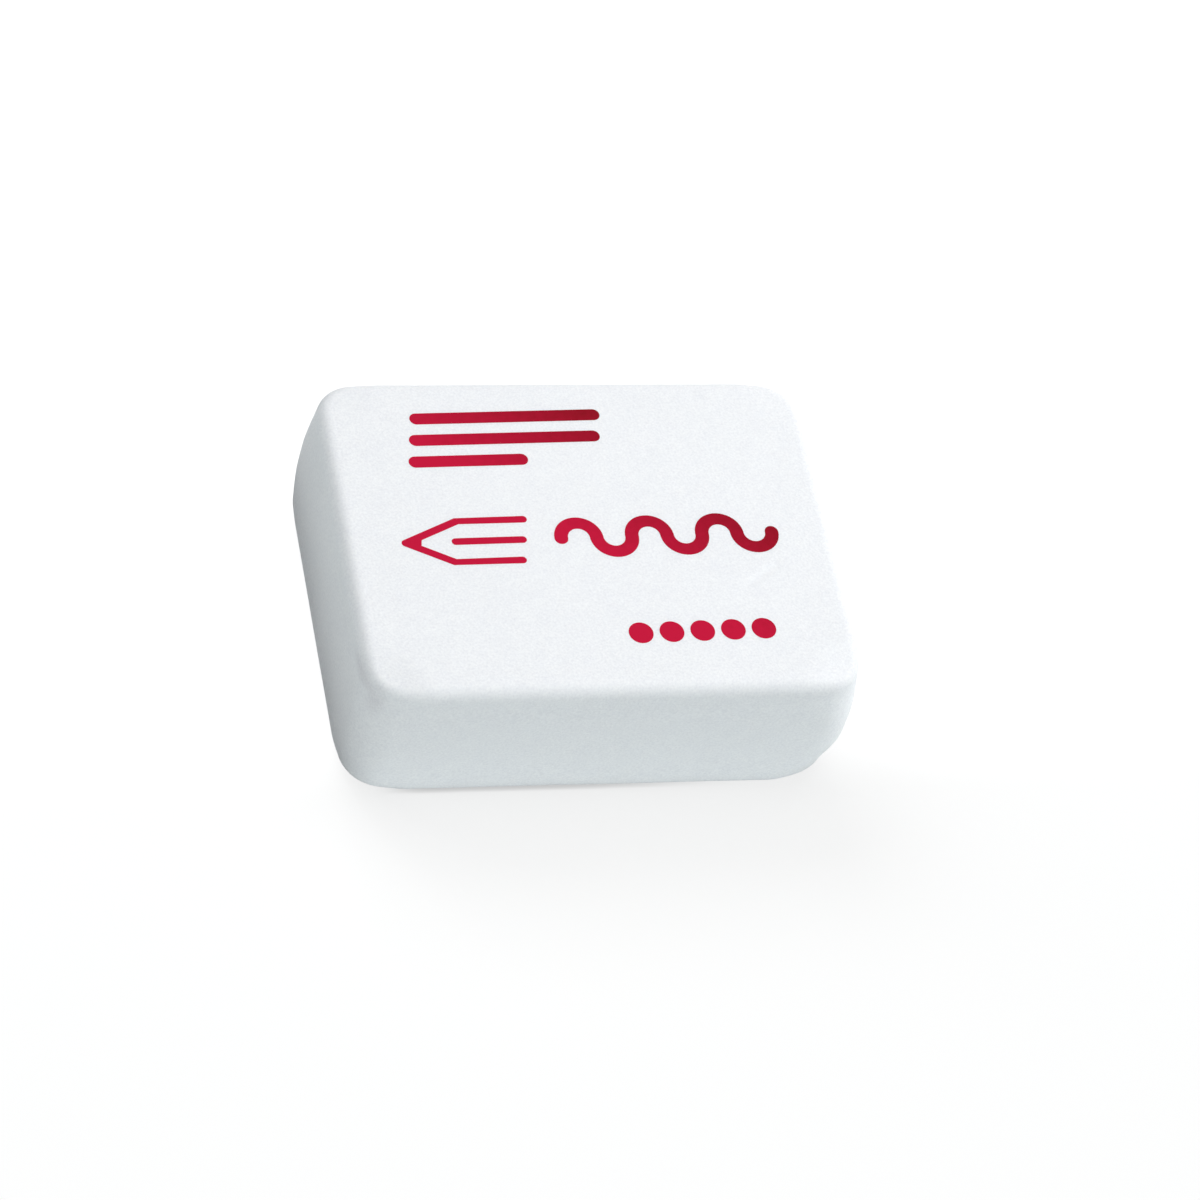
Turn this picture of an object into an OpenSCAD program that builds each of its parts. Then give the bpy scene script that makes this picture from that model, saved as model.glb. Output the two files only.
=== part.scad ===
// White block eraser for pencil marks: one moulded and tumbled piece of soft vinyl, with
// crimson marks printed on its upper face. Millimetres, +Z up. The origin is the middle of
// the underside, X runs along the long side and Y from the front to the back.

/* [Block] */
// Length of the block, from left to right
block_length = 35; // [31:0.5:60]
// Depth of the block, from front to back
block_depth = 27; // [26:0.1:45]
// Height of the block
block_height = 11.5; // [6:0.1:20]
// How far the sides stand out at half height, in a slow curve from edge to edge
side_bulge = 0.3; // [0.1:0.05:0.4]
// Radius of the four upright corners, seen from above at half height
corner_radius = 2.9; // [2.2:0.1:6]
// Radius that tumbling has worn on the edge around the upper face
top_edge_radius = 1; // [0.4:0.1:1.6]
// Radius on the edge around the underside
base_edge_radius = 1.3; // [0.4:0.1:1.6]

/* [Print] */
// Thickness of the ink film on the upper face
ink_thickness = 0.03; // [0.01:0.01:0.1]
// Turn of the whole print on the face, in degrees
print_turn = 1.4; // [-3:0.1:3]
// Lean of the print's upright ends to the right, in degrees
print_lean = 11; // [0:1:15]
// Height of the middle row of marks above the middle of the face
middle_row = -0.45; // [-1:0.05:1]

/* [Ruled lines] */
// Number of ruled lines, from the back towards the front
rule_count = 3; // [1:1:3]
// Length of a full ruled line between the centres of its round ends
rule_length = 12.5; // [6:0.1:14]
// Length of the last, shorter ruled line
last_rule_length = 7.4; // [4:0.1:12]
// Width of a ruled line
rule_width = 0.95; // [0.3:0.05:1.4]
// Distance from one ruled line to the next
rule_pitch = 1.85; // [1.5:0.05:2]
// Left end of the ruled lines, from the middle of the face
rule_start = -12.2; // [-13:0.1:-10]
// Height of the back ruled line above the middle of the face
rule_back = 10.05; // [9:0.05:10.5]

/* [Pencil sign] */
// Length of the pencil outline, from its tip to the ends of its barrel lines
pencil_length = 8.1; // [7:0.1:9.2]
// Distance between the barrel's two outer lines
pencil_width = 3.4; // [2.4:0.1:4.4]
// Length of the sharpened cone
cone_length = 3.45; // [2.5:0.05:5]
// Length of the filled lead at the tip
lead_length = 1.1; // [0.8:0.1:2]
// Width of the lines that draw the pencil
pencil_line = 0.55; // [0.2:0.05:0.8]
// Tip of the pencil, from the middle of the face
pencil_tip = -12.8; // [-13.4:0.05:-12.4]

/* [Wavy line] */
// Number of half waves
wave_count = 6; // [2:1:6]
// Radius of each half wave at the middle of the line
wave_radius = 1.24; // [0.8:0.02:1.3]
// Width of the wavy line
wave_line = 0.95; // [0.3:0.05:1.2]
// Left end of the wavy line, from the middle of the face
wave_start = -2.1; // [-3:0.05:-1.5]

/* [Dots] */
// Number of dots in the row
dot_count = 5; // [1:1:6]
// Diameter of a dot
dot_diameter = 1.7; // [0.8:0.1:2]
// Distance from one dot to the next
dot_pitch = 2.15; // [2.1:0.05:2.3]
// Centre of the last dot on the right, from the middle of the face
dot_right = 10.4; // [9:0.1:12]
// Distance of the row of dots in front of the middle of the face
dot_front = 8.5; // [5:0.05:9.5]

/* [Hidden] */
vinyl_white = "#f1f4f8";
ink_crimson = "#cc2242";
corner_x = block_length / 2 - corner_radius;
corner_y = block_depth / 2 - corner_radius;
half_height = block_height / 2;
bulge_radius = (half_height * half_height / side_bulge + side_bulge) / 2;
bulge_steps = 960;
hair = 0.0002;
$fn = 96;

// A point of the print, leaned to the right with its height on the face.
function leaned(x, y) = [x + y * tan(print_lean), y];

// A step of one to the left of the way from one point to another.
function left_of(from, to) = [from.y - to.y, to.x - from.x] / norm(to - from);

// A quarter of a disc to the right of its middle, above it (rise = 1) or below it (rise = -1).
module quarter_disc(radius, rise) {
    intersection() {
        circle(r = radius);
        translate([0, rise > 0 ? 0 : -radius])
            square(radius);
    }
}

// How far an edge's round centre lies from the centre of the side's slow curve. A hair is
// added, so that the round crosses the slow curve instead of only touching it.
function edge_inset(radius) =
    sqrt(pow(bulge_radius - radius, 2) - pow(half_height - radius, 2)) + hair;

// How far above or below half height an edge's round takes over from the side's curve.
function edge_start(radius) =
    (half_height - radius) * bulge_radius / (bulge_radius - radius);

// Upright section through the block's side, from the upright corner's axis at x = 0 out.
module edge_section() {
    bulge_centre = corner_radius - bulge_radius;
    top_centre = bulge_centre + edge_inset(top_edge_radius);
    base_centre = bulge_centre + edge_inset(base_edge_radius);
    band_low = half_height - edge_start(base_edge_radius);
    band_high = half_height + edge_start(top_edge_radius);
    union() {
        square([base_centre, half_height]);
        translate([0, half_height])
            square([top_centre, half_height]);
        intersection() {
            translate([bulge_centre, half_height])
                circle(r = bulge_radius, $fn = bulge_steps);
            translate([0, band_low])
                square([corner_radius, band_high - band_low]);
        }
        translate([base_centre, base_edge_radius])
            quarter_disc(base_edge_radius, -1);
        translate([top_centre, block_height - top_edge_radius])
            quarter_disc(top_edge_radius, 1);
    }
}

// A straight run of the block along Y: flat in the middle, the side's section at both ends.
module straight_run(across, along) {
    translate([0, along / 2, 0])
        rotate([90, 0, 0])
            linear_extrude(along) {
                translate([-across / 2, 0])
                    square([across, block_height]);
                for (side = [0, 1])
                    mirror([side, 0])
                        translate([across / 2, 0])
                            edge_section();
            }
}

// The vinyl block: two crossing runs and a turned corner at each of the four uprights.
module eraser_block() {
    color(vinyl_white)
        union() {
            straight_run(2 * corner_x, 2 * corner_y);
            rotate([0, 0, 90])
                straight_run(2 * corner_y, 2 * corner_x);
            for (side = [-1, 1], end = [-1, 1])
                translate([side * corner_x, end * corner_y, 0])
                    rotate_extrude()
                        edge_section();
        }
}

// A straight printed line with round ends.
module line_mark(start, finish, width) {
    run = finish - start;
    translate(start)
        rotate(atan2(run.y, run.x)) {
            translate([0, -width / 2])
                square([norm(run), width]);
            circle(d = width);
            translate([norm(run), 0])
                circle(d = width);
        }
}

// A printed line with one sharp bend and round ends.
module bent_mark(start, bend, finish, width) {
    left_before = left_of(start, bend) * width / 2;
    left_after = left_of(bend, finish) * width / 2;
    left_sum = left_before + left_after;
    left_bend = left_sum * 2 * left_before * left_before / (left_sum * left_sum);
    polygon([
        start - left_before,
        bend - left_bend,
        finish - left_after,
        finish + left_after,
        bend + left_bend,
        start + left_before
    ]);
    for (end = [start, finish])
        translate(end)
            circle(d = width);
}

// Ruled lines like those of a writing pad, the last one cut short.
module ruled_lines() {
    for (row = [0 : rule_count - 1]) {
        y = rule_back - row * rule_pitch;
        reach = row == rule_count - 1 ? last_rule_length : rule_length;
        line_mark(leaned(rule_start, y), leaned(rule_start + reach, y), rule_width);
    }
}

// The common pencil sign: point to the left, open barrel of three lines to the right.
module pencil_sign() {
    tip = leaned(pencil_tip, middle_row);
    barrel_start = pencil_tip + cone_length;
    barrel_end = pencil_tip + pencil_length;
    lead_end = pencil_tip + lead_length;
    lead_half = pencil_width / 2 * lead_length / cone_length;
    line_mark(leaned(barrel_start, middle_row), leaned(barrel_end, middle_row), pencil_line);
    for (side = [-1, 1]) {
        y = middle_row + side * pencil_width / 2;
        bent_mark(tip, leaned(barrel_start, y), leaned(barrel_end, y), pencil_line);
    }
    polygon([
        tip,
        leaned(lead_end, middle_row - lead_half),
        leaned(lead_end, middle_row + lead_half)
    ]);
}

// One half wave: half a ring above the line (rise = 1) or below it (rise = -1).
module half_wave(rise) {
    outer = wave_radius + wave_line / 2;
    difference() {
        circle(r = outer);
        circle(r = wave_radius - wave_line / 2);
        translate([-outer, rise > 0 ? -outer : 0])
            square([2 * outer, outer]);
    }
}

// A wavy line of half rings, joined by short upright stretches, with round ends.
module wavy_line() {
    span = 2 * wave_radius;
    for (turn = [0 : wave_count - 1])
        translate([wave_start + (turn + 0.5) * span, middle_row])
            half_wave(turn % 2 == 0 ? 1 : -1);
    for (joint = [1 : 1 : wave_count - 1])
        translate([wave_start + joint * span, middle_row])
            square([wave_line, wave_line / 4], center = true);
    for (end = [0, wave_count])
        translate([wave_start + end * span, middle_row])
            circle(d = wave_line);
}

// A row of round dots.
module dot_row() {
    for (dot = [0 : dot_count - 1])
        translate([dot_right - dot * dot_pitch, -dot_front])
            circle(d = dot_diameter);
}

// The ink film: every mark of the print, lying on the block's upper face.
module printed_marks() {
    color(ink_crimson)
        translate([0, 0, block_height])
            linear_extrude(ink_thickness)
                rotate(print_turn) {
                    ruled_lines();
                    pencil_sign();
                    wavy_line();
                    dot_row();
                }
}

eraser_block();
printed_marks();
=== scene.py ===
import math

import bmesh
import bpy
import numpy as np
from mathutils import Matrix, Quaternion, Vector, noise


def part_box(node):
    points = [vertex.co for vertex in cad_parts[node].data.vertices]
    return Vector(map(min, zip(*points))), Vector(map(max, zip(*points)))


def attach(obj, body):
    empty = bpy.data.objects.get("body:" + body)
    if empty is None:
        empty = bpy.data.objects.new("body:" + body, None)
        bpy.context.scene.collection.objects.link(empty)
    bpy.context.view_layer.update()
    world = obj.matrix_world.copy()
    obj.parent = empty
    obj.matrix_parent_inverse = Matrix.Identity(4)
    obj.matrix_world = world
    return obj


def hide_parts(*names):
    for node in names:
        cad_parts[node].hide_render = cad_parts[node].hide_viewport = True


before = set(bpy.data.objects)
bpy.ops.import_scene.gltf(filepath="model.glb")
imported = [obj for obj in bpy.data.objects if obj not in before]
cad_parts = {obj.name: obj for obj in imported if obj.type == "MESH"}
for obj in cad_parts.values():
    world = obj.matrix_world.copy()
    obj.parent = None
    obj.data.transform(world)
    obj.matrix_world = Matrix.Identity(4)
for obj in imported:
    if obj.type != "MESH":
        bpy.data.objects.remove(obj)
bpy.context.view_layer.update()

# A white block eraser on a pale table, seen from above its front left corner.
# Sizes are in millimetres until a mesh or an object is made.
MM = 0.001

# The block: its length, depth and height come from the frame.
block_low, block_high = (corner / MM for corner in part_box("eraser_block"))
LENGTH, DEPTH, HEIGHT = block_high - block_low
CORNER_RADIUS = 2.9
TOP_EDGE_RADIUS = 1.0
BASE_EDGE_RADIUS = 1.3
SIDE_BULGE = 0.3
MESH_PITCH = 0.2
CORNER_STEPS = 12

# Unevenness of a soft block that was moulded and tumbled: how broad and how deep.
WAVE_WIDTH = 7.0
FACE_WAVE_DEPTH = 0.02
SIDE_WAVE_DEPTH = 0.07

# How deep tumbling has worn the corners, by side and end, and the front right one below
# most of all. The wear is full up to one distance from the sharp corner of the box around
# the block, and gone at another.
CORNER_WEAR = {(-1, -1): 0.32, (1, -1): 0.34, (-1, 1): 0.14, (1, 1): 0.25}
DEEPEST_WEAR = 0.6
WEAR_FULL = 1.5
WEAR_END = 5.0

# Small dents in the upper face: place, radius and depth.
DENTS = (
    ((5.2, 6.9), 0.55, 0.07),
    ((9.5, 11.8), 0.5, 0.06),
    ((16.2, 1.1), 0.6, 0.08),
)
# A short crease pressed into the face near its right end.
CREASE_START = (10.3, -4.5)
CREASE_END = (12.6, -3.0)
CREASE_WIDTH = 0.42
CREASE_DEPTH = 0.07

# Faint grey darker patches in the colour at the front left corner and the edge beside it:
# middle and reach.
DARKER_PATCHES = (
    ((-16.7, -12.5, 9.9), (1.3, 1.3, 2.1)),
    ((-17.2, -11.0, 10.4), (1.0, 3.2, 0.9)),
)

# The ink film on the face, in panes small enough to follow it.
FILM_THICKNESS = 0.012
FILM_PANE = 0.4

# The table's paint: a painted shadow strip along the block's left side, and painted glow,
# though the table is no lamp, from a strip in front of the block and two parts further off
# to its left and right. A glow of 1 is as bright as a white surface in full light.
PAINTED_SHADOW_STRIP = (-34, -28, -21, -15)
FRONT_STRIP = (-22.5, -20.5, -14.6, -13.4)
FRONT_STRIP_START = (-20, -18)
FRONT_GLOW = 0.56
LEFT_PART = (-24.5, -26.5)
LEFT_GLOW = 0.53
RIGHT_PART = (24.5, 26.5)
RIGHT_PART_START = (-25, -19)
RIGHT_GLOW = 0.9
# How far the table is lifted to white for the eye, and how much less in front of the block,
# where the shadow falls.
TABLE_LIFT = 0.86
SHADOW_PART = (-8, -14)
SHADOW_DIP = 0.09
# A painted contact shadow, the dark line where the block's front edge meets the table; it
# fades out to the right.
CONTACT_SHADOW_LINE = (-13.2, -12.75, 0, 2)
CONTACT_SHADOW_REACH = (-15, -11, -2, 12)
CONTACT_SHADOW_DIP = 0.26

# The lamps: the soft boxes' distance and usual size in metres, the room's even light, and
# the faint cool tint of the room, the front lamp and the table's painted glow.
LAMP_DISTANCE = 0.6
LAMP_SIZE = 0.35
ROOM_LIGHT = 0.343
COOL_WHITE = "#f8fffe"

# The camera, a long lens above the front left corner, its picture rolled, and how far the
# picture's middle lies to the right of the block's middle and above it.
VIEW_AZIMUTH = -25.51
VIEW_ELEVATION = 50.70
VIEW_ROLL = 19.41
VIEW_DISTANCE = 340.1
FOCAL_LENGTH = 149.7
FRAMED_RIGHT = 1.88
FRAMED_UP = -1.14
SENSOR_WIDTH = 36


def linear(code):
    """The linear colour of an sRGB hex value."""
    parts = [int(code[i:i + 2], 16) / 255 for i in (1, 3, 5)]
    return (*(c / 12.92 if c <= 0.04045 else ((c + 0.055) / 1.055) ** 2.4 for c in parts), 1)


def node(tree, kind, inputs=(), **settings):
    """Adds a node with its settings; an input is a value, or a socket to link."""
    made = tree.nodes.new("ShaderNode" + kind)
    for name, value in settings.items():
        setattr(made, name, value)
    for name, value in dict(inputs).items():
        if isinstance(value, bpy.types.NodeSocket):
            tree.links.new(value, made.inputs[name])
        else:
            made.inputs[name].default_value = value
    return made


def blank_material(name):
    """A new material with an empty node tree, and that tree."""
    material = bpy.data.materials.new(name)
    material.use_nodes = True
    material.node_tree.nodes.clear()
    return material, material.node_tree


def smooth_step(share):
    """A soft change from 0 to 1 as the share goes from 0 to 1."""
    share = np.clip(share, 0, 1)
    return share * share * (3 - 2 * share)


def face_drop(x, y):
    """How far the upper face lies below its flat height at a point."""
    drop = 0.0
    for (dent_x, dent_y), radius, depth in DENTS:
        reach = math.hypot(x - dent_x, y - dent_y) / radius
        drop += depth * smooth_step(1 - reach)
    run = Vector(CREASE_END) - Vector(CREASE_START)
    along = (Vector((x, y)) - Vector(CREASE_START)).dot(run) / run.length_squared
    nearest = Vector(CREASE_START) + run * min(max(along, 0), 1)
    reach = (Vector((x, y)) - nearest).length / CREASE_WIDTH
    drop += CREASE_DEPTH * smooth_step(1 - reach)
    return drop


def wave(point, depth):
    """Slow unevenness, from nothing to depth, always towards the inside."""
    return depth * (0.5 + 0.5 * noise.noise(Vector(point) / WAVE_WIDTH))


def corner_wear(x, y, z):
    """How far a point near one of the eight corners is worn in."""
    apart = math.hypot(LENGTH / 2 - abs(x), DEPTH / 2 - abs(y), min(z, HEIGHT - z))
    deepest = x > 0 > y and z < HEIGHT / 2
    depth = DEEPEST_WEAR if deepest else CORNER_WEAR[1 if x > 0 else -1, 1 if y > 0 else -1]
    return depth * smooth_step((WEAR_END - apart) / (WEAR_END - WEAR_FULL))


def worn_in(point, normal):
    """A point of the ideal block, moved in by dents, crease, wear and unevenness."""
    upward = max(normal[2], 0)
    drop = wave(point, SIDE_WAVE_DEPTH + (FACE_WAVE_DEPTH - SIDE_WAVE_DEPTH) * abs(normal[2]))
    drop += corner_wear(*point)
    if upward > 0:
        drop += upward * face_drop(point[0], point[1])
    return Vector(point) - Vector(normal) * drop


def face_stops(half_length):
    """Stops across a face: straight places, then the shares of the round corner."""
    straight = half_length - CORNER_RADIUS
    count = round(2 * straight / MESH_PITCH)
    places = np.linspace(-straight, straight, count + 1)
    shares = np.arange(1, CORNER_STEPS + 1) / CORNER_STEPS
    ends = np.full(CORNER_STEPS, straight)
    return (
        np.concatenate([-ends, places, ends]),
        np.concatenate([-shares[::-1], np.zeros(count + 1), shares]),
    )


def rim_rings():
    """The outward reach of the upper face's rim; the rings from there down, each with its
    reach, height and slope; and the reach of the underside's rim."""
    bulge_radius = (HEIGHT ** 2 / 4 / SIDE_BULGE + SIDE_BULGE) / 2
    bulge_centre = CORNER_RADIUS - bulge_radius
    rings = []

    def edge_centre(radius):
        """Where an edge's round has its middle, and the slope where it meets the side."""
        rise = HEIGHT / 2 - radius
        reach = math.sqrt((bulge_radius - radius) ** 2 - rise ** 2)
        return bulge_centre + reach, math.atan2(rise, reach)

    def add_arc(centre, radius, start, end):
        """Rings along an arc, from one slope to another, without the first."""
        steps = round(radius * abs(end - start) / MESH_PITCH)
        for step in range(1, steps + 1):
            slope = start + (end - start) * step / steps
            rings.append((
                centre[0] + radius * math.cos(slope),
                centre[1] + radius * math.sin(slope),
                slope,
            ))

    top, top_slope = edge_centre(TOP_EDGE_RADIUS)
    base, base_slope = edge_centre(BASE_EDGE_RADIUS)
    add_arc((top, HEIGHT - TOP_EDGE_RADIUS), TOP_EDGE_RADIUS, math.pi / 2, top_slope)
    add_arc((bulge_centre, HEIGHT / 2), bulge_radius, top_slope, -base_slope)
    add_arc((base, BASE_EDGE_RADIUS), BASE_EDGE_RADIUS, -base_slope, -math.pi / 2)
    # The underside's own rim stands where the last ring would.
    return top, rings[:-1], base


def band(above, below):
    """Quads between two rings of points, the lower one further from the face."""
    return [
        (above[k - 1], below[k - 1], below[k], above[k])
        for k in range(len(above))
    ]


def block_mesh():
    """The block as one closed skin of small quads: upper face, rings, underside."""
    places_x, shares_x = face_stops(LENGTH / 2)
    places_y, shares_y = face_stops(DEPTH / 2)
    columns, rows = len(places_x), len(places_y)
    points, faces = [], []

    def outward(i, j):
        """The unit disc's point for a grid place; on the rim it is the outward way."""
        u, v = shares_x[i], shares_y[j]
        return u * math.sqrt(1 - v * v / 2), v * math.sqrt(1 - u * u / 2)

    def add_face(reach, height, facing):
        """A flat face of small quads, facing up (1) or down (-1), and its first point."""
        first = len(points)
        for j in range(rows):
            for i in range(columns):
                u, v = outward(i, j)
                flat = (places_x[i] + reach * u, places_y[j] + reach * v, height)
                points.append(worn_in(flat, (0, 0, facing)))
        for j in range(rows - 1):
            for i in range(columns - 1):
                a = first + j * columns + i
                quad = (a, a + 1, a + columns + 1, a + columns)
                faces.append(quad if facing > 0 else quad[::-1])
        return first

    rim = [(i, 0) for i in range(columns - 1)]
    rim += [(columns - 1, j) for j in range(rows - 1)]
    rim += [(i, rows - 1) for i in range(columns - 1, 0, -1)]
    rim += [(0, j) for j in range(rows - 1, 0, -1)]

    top_reach, rings, base_reach = rim_rings()
    top = add_face(top_reach, HEIGHT, 1)
    above = [top + j * columns + i for i, j in rim]
    for reach, height, slope in rings:
        below = []
        for i, j in rim:
            u, v = outward(i, j)
            size = math.hypot(u, v)
            u, v = u / size, v / size
            normal = (u * math.cos(slope), v * math.cos(slope), math.sin(slope))
            below.append(len(points))
            ideal = (places_x[i] + reach * u, places_y[j] + reach * v, height)
            points.append(worn_in(ideal, normal))
        faces += band(above, below)
        above = below
    base = add_face(base_reach, 0, -1)
    faces += band(above, [base + j * columns + i for i, j in rim])

    mesh = bpy.data.meshes.new("eraser_body")
    mesh.from_pydata([point * MM for point in points], [], faces)
    mesh.shade_smooth()
    return mesh


def film_mesh():
    """The printed marks laid on the worn face: cut into panes, then draped."""
    same_place = MM * 1e-3
    made = bmesh.new()
    made.from_mesh(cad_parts["printed_marks"].data)
    bmesh.ops.remove_doubles(made, verts=made.verts, dist=same_place)
    low, high = (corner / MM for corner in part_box("printed_marks"))
    for axis in (0, 1):
        way = Vector((axis == 0, axis == 1, 0))
        for place in np.arange(low[axis] + FILM_PANE / 2, high[axis], FILM_PANE):
            everything = made.verts[:] + made.edges[:] + made.faces[:]
            bmesh.ops.bisect_plane(made, geom=everything, plane_co=way * place * MM, plane_no=way)
    middle = (low[2] + high[2]) / 2
    for vert in made.verts:
        place = vert.co / MM
        face = worn_in((place.x, place.y, HEIGHT), (0, 0, 1))
        lift = FILM_THICKNESS if place.z > middle else -FILM_THICKNESS
        vert.co.z = (face.z + lift) * MM
    mesh = bpy.data.meshes.new("ink_film")
    made.to_mesh(mesh)
    made.free()
    return mesh


def tumbled_white_vinyl():
    """Filled soft vinyl, moulded and tumbled: a dull chalky white, faintly cool, with a
    fine mottled grain, light that sinks in a little, and no clear reflection."""
    # The chalk in real vinyl is finer than this; the grain is drawn coarse enough to show.
    grain_width = 0.16 * MM
    mottle_width = 1.1 * MM
    scuff_width = 9 * MM
    material, tree = blank_material("tumbled_white_vinyl")
    place = node(tree, "TexCoord").outputs["Object"]
    grain = node(tree, "TexNoise", {
        "Vector": place, "Scale": 1 / grain_width, "Detail": 4, "Roughness": 0.6,
    })
    mottle = node(tree, "TexNoise", {
        "Vector": place, "Scale": 1 / mottle_width, "Detail": 3, "Roughness": 0.55,
    })
    scuff = node(tree, "TexNoise", {
        "Vector": place, "Scale": 1 / scuff_width, "Detail": 2, "Roughness": 0.5,
    })
    speckle = node(tree, "MapRange", {
        "Value": grain.outputs["Fac"], "From Min": 0.3, "From Max": 0.7,
    })
    shade = node(tree, "Mix", {
        "Factor": speckle.outputs["Result"],
        "A": linear("#eeeef2"), "B": linear("#fdfdff"),
    }, data_type="RGBA")
    tinted = node(tree, "Mix", {
        "Factor": mottle.outputs["Fac"],
        "A": linear("#f8f8fa"), "B": linear("#ffffff"),
    }, data_type="RGBA")
    colour = node(tree, "Mix", {
        "Factor": 1.0, "A": shade.outputs["Result"], "B": tinted.outputs["Result"],
    }, data_type="RGBA", blend_type="MULTIPLY")
    # A faint grey darkening of the colour in each patch.
    for middle, reach in DARKER_PATCHES:
        offset = node(tree, "VectorMath", {
            0: place, 1: [part * MM for part in middle],
        }, operation="SUBTRACT")
        share = node(tree, "VectorMath", {
            0: offset.outputs["Vector"], 1: [part * MM for part in reach],
        }, operation="DIVIDE")
        apart = node(tree, "VectorMath", {0: share.outputs["Vector"]}, operation="LENGTH")
        darkened = node(tree, "MapRange", {
            "Value": apart.outputs["Value"], "From Min": 1, "From Max": 0.1,
        }, interpolation_type="SMOOTHSTEP")
        colour = node(tree, "Mix", {
            "Factor": darkened.outputs["Result"],
            "A": colour.outputs["Result"], "B": linear("#f1eff0"),
        }, data_type="RGBA", blend_type="MULTIPLY")
    rough = node(tree, "MapRange", {
        "Value": scuff.outputs["Fac"], "From Min": 0.3, "From Max": 0.7,
        "To Min": 0.56, "To Max": 0.68,
    })
    coarse = node(tree, "Bump", {
        "Height": mottle.outputs["Fac"], "Distance": 0.02 * MM, "Strength": 0.5,
    })
    fine = node(tree, "Bump", {
        "Height": grain.outputs["Fac"], "Distance": 0.012 * MM, "Strength": 0.8,
        "Normal": coarse.outputs["Normal"],
    })
    skin = node(tree, "BsdfPrincipled", {
        "Base Color": colour.outputs["Result"],
        "Roughness": rough.outputs["Result"],
        "Normal": fine.outputs["Normal"],
        "IOR": 1.53,
        "Subsurface Weight": 0.2,
        "Subsurface Radius": (1.0, 0.95, 0.9),
        "Subsurface Scale": 0.6 * MM,
    })
    node(tree, "OutputMaterial", {"Surface": skin.outputs["BSDF"]})
    return material


def pad_printed_crimson_ink():
    """A thin pad-printed film of crimson ink: flat and dull like the vinyl under it, a
    little uneven in tone, and denser and darker towards the face's back right corner."""
    blotch_width = 0.5 * MM
    denser_to_right = 0.054 / MM
    denser_to_back = 0.064 / MM
    material, tree = blank_material("pad_printed_crimson_ink")
    place = node(tree, "TexCoord").outputs["Object"]
    across = node(tree, "SeparateXYZ", {"Vector": place})
    right = node(tree, "Math", {
        0: across.outputs["X"], 1: denser_to_right,
    }, operation="MULTIPLY")
    density = node(tree, "Math", {
        0: across.outputs["Y"], 1: denser_to_back, 2: right.outputs["Value"],
    }, operation="MULTIPLY_ADD")
    blotch = node(tree, "TexNoise", {
        "Vector": place, "Scale": 1 / blotch_width, "Detail": 4, "Roughness": 0.6,
    })
    uneven = node(tree, "MapRange", {
        "Value": blotch.outputs["Fac"], "From Min": 0.25, "From Max": 0.75,
        "To Min": -0.03, "To Max": 0.19,
    })
    tone = node(tree, "Math", {
        0: density.outputs["Value"], 1: uneven.outputs["Result"],
    }, operation="ADD", use_clamp=True)
    colour = node(tree, "Mix", {
        "Factor": tone.outputs["Value"],
        "A": linear("#c8103a"), "B": linear("#820012"),
    }, data_type="RGBA")
    relief = node(tree, "Bump", {
        "Height": blotch.outputs["Fac"], "Distance": 0.006 * MM, "Strength": 0.5,
    })
    film = node(tree, "BsdfPrincipled", {
        "Base Color": colour.outputs["Result"],
        "Normal": relief.outputs["Normal"],
        "Roughness": 0.55,
        "IOR": 1.5,
        "Specular IOR Level": 0.06,
    })
    node(tree, "OutputMaterial", {"Surface": film.outputs["BSDF"]})
    return material


def seen_directly(tree):
    """1 for camera, glossy and transmission rays, 0 for the light that falls on things."""
    path = node(tree, "LightPath").outputs
    either = node(tree, "Math", {
        0: path["Is Camera Ray"], 1: path["Is Glossy Ray"],
    }, operation="MAXIMUM")
    return node(tree, "Math", {
        0: either.outputs["Value"], 1: path["Is Transmission Ray"],
    }, operation="MAXIMUM").outputs["Value"]


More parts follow.
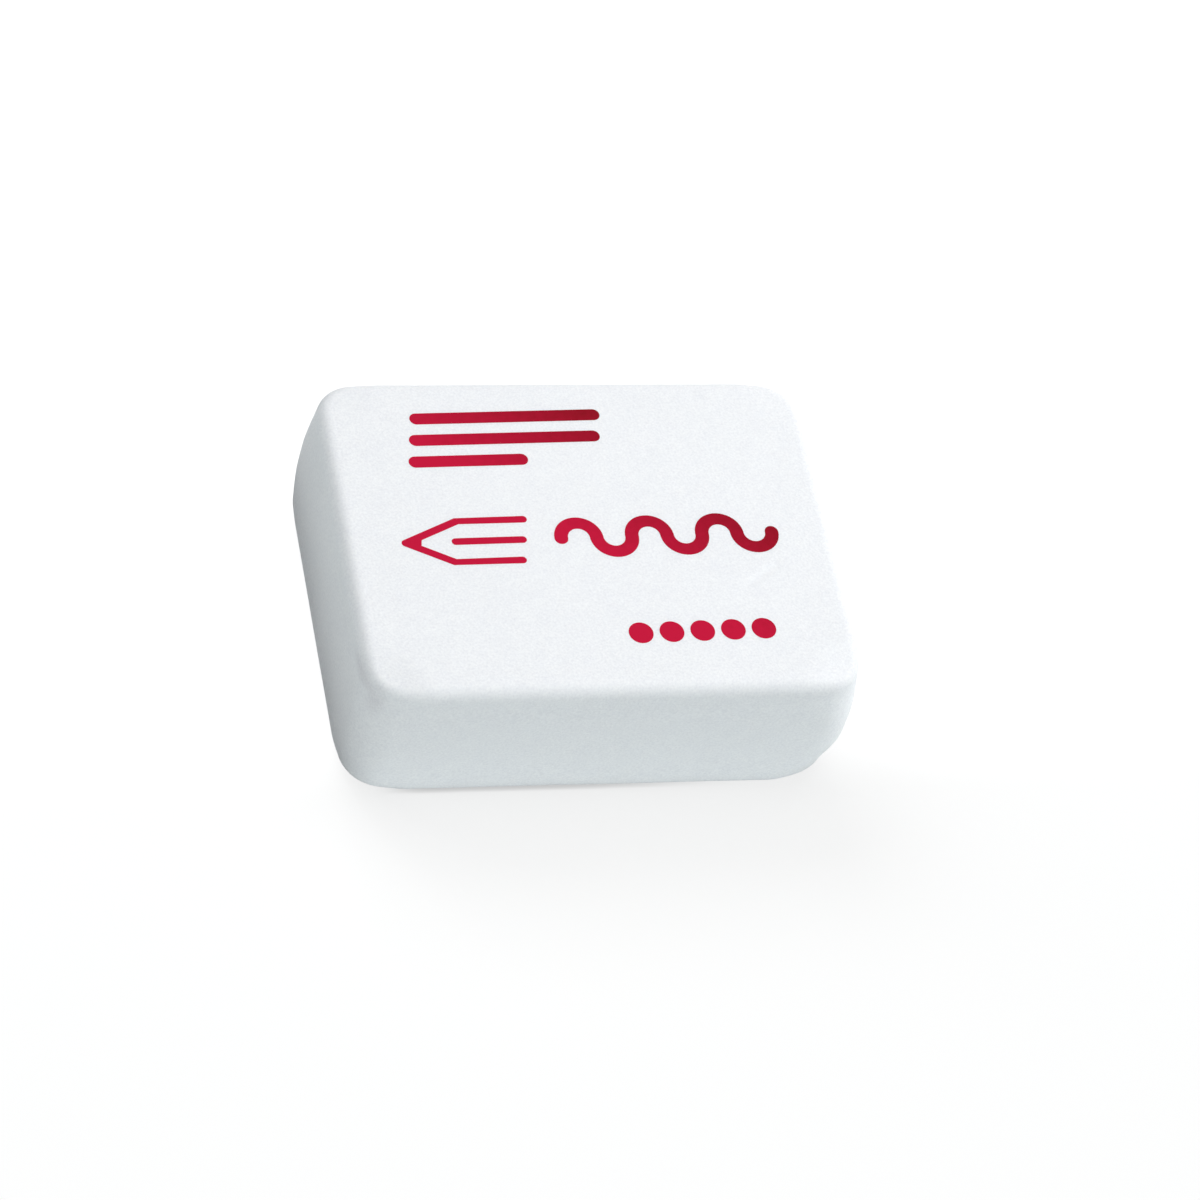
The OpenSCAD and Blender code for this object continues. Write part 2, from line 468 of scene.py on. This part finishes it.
def pale_table_paint():
    """Smooth white table. The eye sees it lifted to white, with the block's soft shadow on
    it. It glows on things with painted light, though it is no lamp, from a strip in front of
    the block and from parts further off to the left and right, and throws little back from a
    painted shadow strip along the block's left side."""
    material, tree = blank_material("pale_table_paint")
    position = node(tree, "NewGeometry").outputs["Position"]
    place = node(tree, "SeparateXYZ", {"Vector": position}).outputs

    def step(along, start, end):
        """From 0 at one line across the table to 1 at another."""
        return node(tree, "MapRange", {
            "Value": place[along], "From Min": start * MM, "From Max": end * MM,
        }, interpolation_type="SMOOTHSTEP").outputs["Result"]

    def joined(operation, values):
        """The values put together one after another."""
        result = values[0]
        for value in values[1:]:
            result = node(tree, "Math", {0: result, 1: value}, operation=operation).outputs["Value"]
        return result

    def times(*values):
        return joined("MULTIPLY", values)

    def plus(*values):
        return joined("ADD", values)

    def strip(along, stops):
        """1 between the two inner stops, fading to 0 at the outer ones."""
        return times(step(along, *stops[:2]), step(along, *stops[:1:-1]))

    # The light the table throws back is darkened by a painted shadow strip along the block's left
    # side.
    thrown = node(tree, "Mix", {
        "Factor": strip("X", PAINTED_SHADOW_STRIP), "A": linear("#abb2b2"), "B": linear("#222425"),
    }, data_type="RGBA")
    matt = node(tree, "BsdfDiffuse", {"Color": thrown.outputs["Result"], "Roughness": 0.5})
    # Painted glow: the table lights things from these parts, though it is no lamp.
    in_front = times(strip("Y", FRONT_STRIP), step("X", *FRONT_STRIP_START), FRONT_GLOW)
    on_right = times(step("X", *RIGHT_PART), step("Y", *RIGHT_PART_START), RIGHT_GLOW)
    at_sides = plus(times(step("X", *LEFT_PART), LEFT_GLOW), on_right)
    lit = node(tree, "Emission", {
        "Color": linear(COOL_WHITE), "Strength": plus(in_front, at_sides),
    })
    bounce = node(tree, "AddShader", {0: matt.outputs["BSDF"], 1: lit.outputs["Emission"]})
    dimmed = node(tree, "BsdfDiffuse", {"Color": linear("#8a8a8a"), "Roughness": 0.5})
    in_shadow = times(step("Y", *SHADOW_PART), -SHADOW_DIP)
    # Painted contact shadow along the block's front edge.
    contact_shadow = times(strip("Y", CONTACT_SHADOW_LINE), strip("X", CONTACT_SHADOW_REACH), -CONTACT_SHADOW_DIP)
    lift = node(tree, "Emission", {
        "Color": (1, 1, 1, 1), "Strength": plus(TABLE_LIFT, in_shadow, contact_shadow),
    })
    eye = node(tree, "AddShader", {0: dimmed.outputs["BSDF"], 1: lift.outputs["Emission"]})
    seen = node(tree, "MixShader", {
        0: seen_directly(tree), 1: bounce.outputs["Shader"], 2: eye.outputs["Shader"],
    })
    node(tree, "OutputMaterial", {"Surface": seen.outputs["Shader"]})
    return material


def lay_table():
    """A wide flat table under the block, its reach in metres."""
    reach = 3.0
    corners = [(-reach, -reach, 0), (reach, -reach, 0), (reach, reach, 0), (-reach, reach, 0)]
    mesh = bpy.data.meshes.new("table_top")
    mesh.from_pydata(corners, [], [(0, 1, 2, 3)])
    mesh.materials.append(pale_table_paint())
    table = bpy.data.objects.new("table_top", mesh)
    bpy.context.scene.collection.objects.link(table)
    return table


def light_room():
    """A white room: white to the eye, a soft even light on the things in it."""
    world = bpy.data.worlds.new("white_room")
    world.use_nodes = True
    tree = world.node_tree
    tree.nodes.clear()
    light = node(tree, "Background", {"Color": linear(COOL_WHITE), "Strength": ROOM_LIGHT})
    white = node(tree, "Background", {"Color": (1, 1, 1, 1), "Strength": 1.0})
    shown = node(tree, "MixShader", {
        0: seen_directly(tree), 1: light.outputs["Background"], 2: white.outputs["Background"],
    })
    node(tree, "OutputWorld", {"Surface": shown.outputs["Shader"]})
    bpy.context.scene.world = world


def soft_lamp(name, azimuth, elevation, brightness, things, size=LAMP_SIZE, tint="#ffffff"):
    """A square soft box aimed at the block, which lights the given things alone. Azimuth 0
    is to the right, 90 to the back; brightness 1 makes a white surface that faces it shine
    as white."""
    around, up = math.radians(azimuth), math.radians(elevation)
    way = Vector((math.cos(around) * math.cos(up), math.sin(around) * math.cos(up), math.sin(up)))
    lamp = bpy.data.lights.new(name, "AREA")
    lamp.shape = "SQUARE"
    lamp.size = size
    lamp.energy = brightness * (math.pi * LAMP_DISTANCE) ** 2
    lamp.color = linear(tint)[:3]
    made = bpy.data.objects.new(name, lamp)
    made.location = way * LAMP_DISTANCE + Vector((0, 0, HEIGHT * MM / 2))
    made.rotation_mode = "QUATERNION"
    made.rotation_quaternion = way.to_track_quat("Z", "Y")
    bpy.context.scene.collection.objects.link(made)
    lit = bpy.data.collections.new(name + "_lights")
    for thing in things:
        lit.objects.link(thing)
    made.light_linking.receiver_collection = lit


def set_camera():
    """The photograph's view: a long lens, its picture rolled about the line of sight."""
    around, up = math.radians(VIEW_AZIMUTH), math.radians(VIEW_ELEVATION)
    back = Vector((math.sin(around) * math.cos(up), -math.cos(around) * math.cos(up), math.sin(up)))
    level = (-back).to_track_quat("-Z", "Y")
    turned = level @ Quaternion((0, 0, 1), math.radians(VIEW_ROLL))
    framed = turned @ Vector((FRAMED_RIGHT, FRAMED_UP, 0))
    lens = bpy.data.cameras.new("long_lens")
    lens.lens = FOCAL_LENGTH
    lens.sensor_width = SENSOR_WIDTH
    lens.clip_start = 0.02
    lens.clip_end = 20
    camera = bpy.data.objects.new("long_lens", lens)
    camera.rotation_mode = "QUATERNION"
    camera.rotation_quaternion = turned
    middle = Vector((0, 0, HEIGHT / 2))
    camera.location = (middle + framed + back * VIEW_DISTANCE) * MM
    bpy.context.scene.collection.objects.link(camera)
    bpy.context.scene.camera = camera


def add_piece(name, mesh, material, stands_for):
    """A shown piece that rides on the root body in place of a solid."""
    mesh.materials.append(material)
    piece = bpy.data.objects.new(name, mesh)
    bpy.context.scene.collection.objects.link(piece)
    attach(piece, "root")
    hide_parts(stands_for)
    return piece


set_camera()
body = add_piece(
    "eraser_body", block_mesh(), tumbled_white_vinyl(), "eraser_block",
)
film = add_piece(
    "ink_film", film_mesh(), pad_printed_crimson_ink(), "printed_marks",
)
table = lay_table()
light_room()
soft_lamp("front_box", -95, 20, 0.252, (body, film), tint=COOL_WHITE)
soft_lamp("right_box", 10, 50, 0.606, (body, film))
soft_lamp("back_box", 90, 50, 0.209, (body, film))
soft_lamp("top_box", 60, 76, 0.33, (table,))
soft_lamp("shadow_box", 108, 48, 0.5, (table,), size=0.3)
soft_lamp("window_box", 135, 34, 0.35, (table,))

bpy.context.scene.view_settings.view_transform = "Standard"
